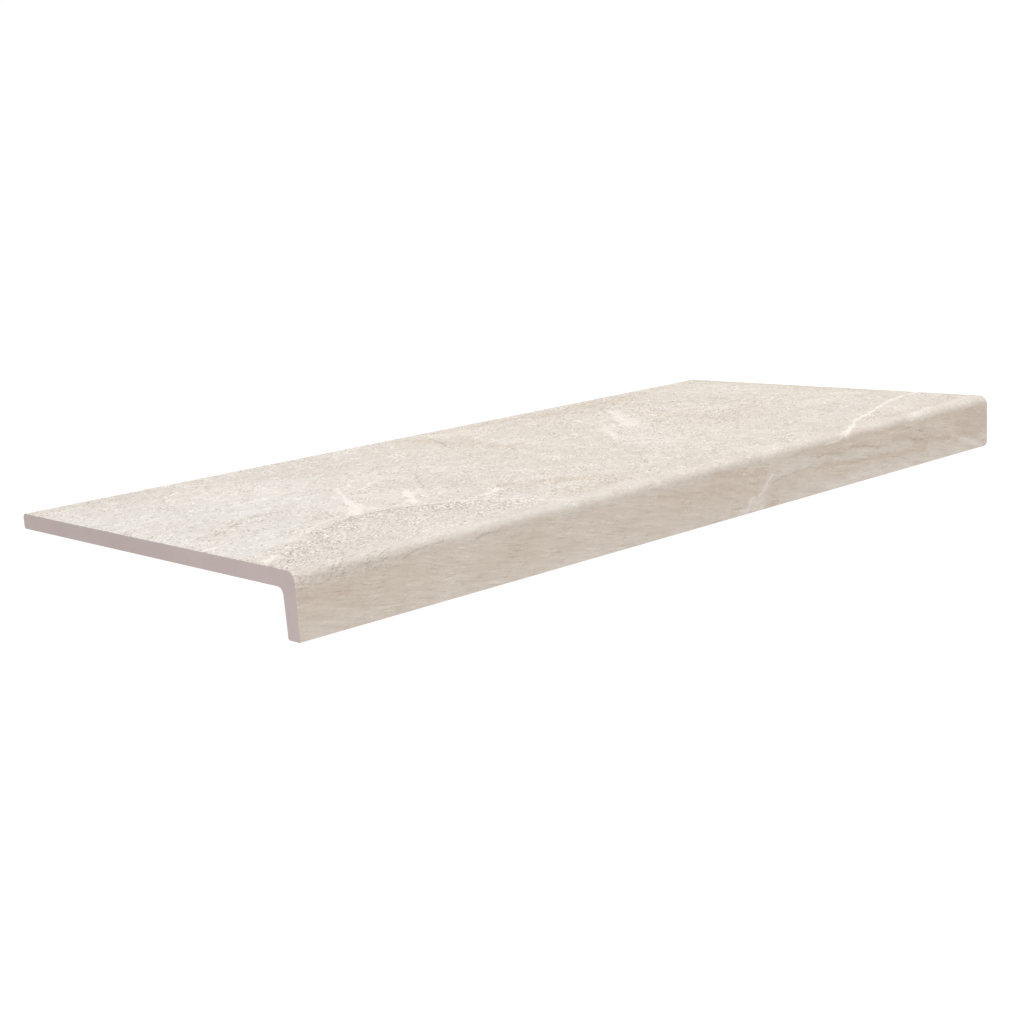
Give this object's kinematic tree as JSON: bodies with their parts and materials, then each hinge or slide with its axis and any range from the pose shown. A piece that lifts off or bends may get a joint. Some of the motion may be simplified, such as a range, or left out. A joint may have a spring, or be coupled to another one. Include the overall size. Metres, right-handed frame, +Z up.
{
  "type": "stair tread tile",
  "caption": "One-piece stoneware stair tread tile: a flat stone-look plate whose front edge turns down into a rounded nosing that covers the edge of a step.",
  "frame": {"origin": "middle of the underside of the bounding box, on the floor that the tile lies on", "axes": "+X along the tread, from its sawn end to its pressed end; +Y from the nosing to the back; +Z up. The tile lies unheld, so its walking face tips back about 5.6 degrees towards +Y."},
  "size_m": [0.6, 0.2812, 0.0359],
  "materials": {
    "stoneware": "satin"
  },
  "bodies": {
    "root": {"stair_tread_tile": "stoneware"}
  },
  "joints": []
}
